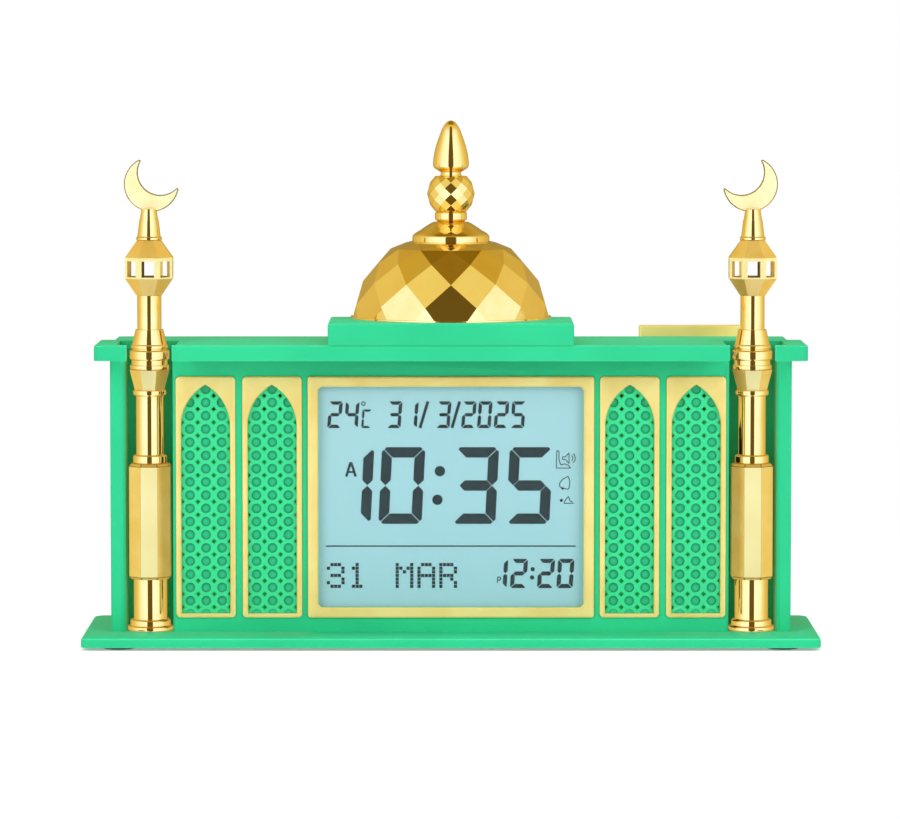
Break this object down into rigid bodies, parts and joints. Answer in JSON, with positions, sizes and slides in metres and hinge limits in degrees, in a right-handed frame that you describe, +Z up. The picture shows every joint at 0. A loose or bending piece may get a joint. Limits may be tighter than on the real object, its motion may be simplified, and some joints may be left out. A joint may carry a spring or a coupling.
{
  "type": "mosque shaped azan clock",
  "caption": "Table prayer alarm clock shaped as a mosque: green case with LCD, arched lattice panels, gold faceted half dome, minarets with crescents and a bar button.",
  "frame": {"origin": "under the middle of the base, on the plane of the rubber feet", "axes": "+X to the viewer's right along the base, +Y from the display to the back, +Z up"},
  "size_m": [0.24, 0.066, 0.171],
  "materials": {
    "green_abs": "satin",
    "pale_gold": "satin gold",
    "crescent_gold": "satin gold",
    "gold_plated": "mirror gold plating",
    "rubber": "matt",
    "screw_steel": "bright",
    "clear_acrylic": "clear",
    "lcd_face": "matt",
    "light_guide": "frosted",
    "white_plastic": "matt",
    "black_rubber": "matt",
    "circuit_board": "satin",
    "black_plastic": "matt",
    "speaker_steel": "zinc",
    "speaker_magnet": "matt",
    "speaker_paper": "matt",
    "battery_steel": "printed sleeve",
    "nickel_wire": "nickel",
    "button_plastic": "satin"
  },
  "bodies": {
    "clock": {"base_plate": "green_abs", "rubber_feet": "rubber", "base_screws": "screw_steel", "front_cover": "green_abs", "cornice": "green_abs", "rear_housing": "green_abs", "back_cover": "green_abs", "case_screws": "screw_steel", "lcd_bezel": "pale_gold", "lcd_window": "clear_acrylic", "lcd_glass": "lcd_face", "lcd_backlight": "light_guide", "lcd_carrier": "white_plastic", "zebra_strips": "black_rubber", "main_board": "circuit_board", "main_chips": "black_plastic", "board_screws": "screw_steel", "left_outer_frame": "pale_gold", "left_inner_frame": "pale_gold", "right_inner_frame": "pale_gold", "right_outer_frame": "pale_gold", "left_outer_lattice": "green_abs", "left_inner_lattice": "green_abs", "right_inner_lattice": "green_abs", "right_outer_lattice": "green_abs", "dome_shell": "gold_plated", "dome_skirt": "gold_plated", "finial_collar": "gold_plated", "finial_ball": "gold_plated", "finial_spike": "gold_plated", "left_column": "gold_plated", "left_sleeve": "gold_plated", "left_shaft": "gold_plated", "left_balcony": "gold_plated", "left_lantern": "gold_plated", "left_cap": "gold_plated", "left_crescent": "crescent_gold", "right_column": "gold_plated", "right_sleeve": "gold_plated", "right_shaft": "gold_plated", "right_balcony": "gold_plated", "right_lantern": "gold_plated", "right_cap": "gold_plated", "right_crescent": "crescent_gold", "speaker_frame": "speaker_steel", "speaker_cone": "speaker_paper", "speaker_magnet": "speaker_magnet", "battery_tray": "black_plastic", "battery_cells": "battery_steel", "battery_springs": "nickel_wire", "battery_contacts": "nickel_wire", "button_board": "circuit_board", "snooze_switch": "circuit_board"},
    "snooze_bar_body": {"snooze_bar": "gold_plated"},
    "set_button_1_body": {"set_button_1": "button_plastic"},
    "set_button_2_body": {"set_button_2": "button_plastic"},
    "set_button_3_body": {"set_button_3": "button_plastic"},
    "set_button_4_body": {"set_button_4": "button_plastic"},
    "battery_door_body": {"battery_door": "green_abs"}
  },
  "joints": [
    {"name": "snooze_press", "type": "slide", "parent": "clock", "child": "snooze_bar_body", "axis": [0, 0, -1], "range_m": [0, 0.0012], "stiffness_N_per_m": 500, "springref_m": -0.001},
    {"name": "set_press_1", "type": "slide", "parent": "clock", "child": "set_button_1_body", "axis": [0, -1, 0], "range_m": [0, 0.0008], "stiffness_N_per_m": 500, "springref_m": -0.0005},
    {"name": "set_press_2", "type": "slide", "parent": "clock", "child": "set_button_2_body", "axis": [0, -1, 0], "range_m": [0, 0.0008], "stiffness_N_per_m": 500, "springref_m": -0.0005},
    {"name": "set_press_3", "type": "slide", "parent": "clock", "child": "set_button_3_body", "axis": [0, -1, 0], "range_m": [0, 0.0008], "stiffness_N_per_m": 500, "springref_m": -0.0005},
    {"name": "set_press_4", "type": "slide", "parent": "clock", "child": "set_button_4_body", "axis": [0, -1, 0], "range_m": [0, 0.0008], "stiffness_N_per_m": 500, "springref_m": -0.0005},
    {"name": "door_lift", "type": "slide", "parent": "clock", "child": "battery_door_body", "axis": [0, 1, 0], "range_m": [0, 0.025]}
  ]
}
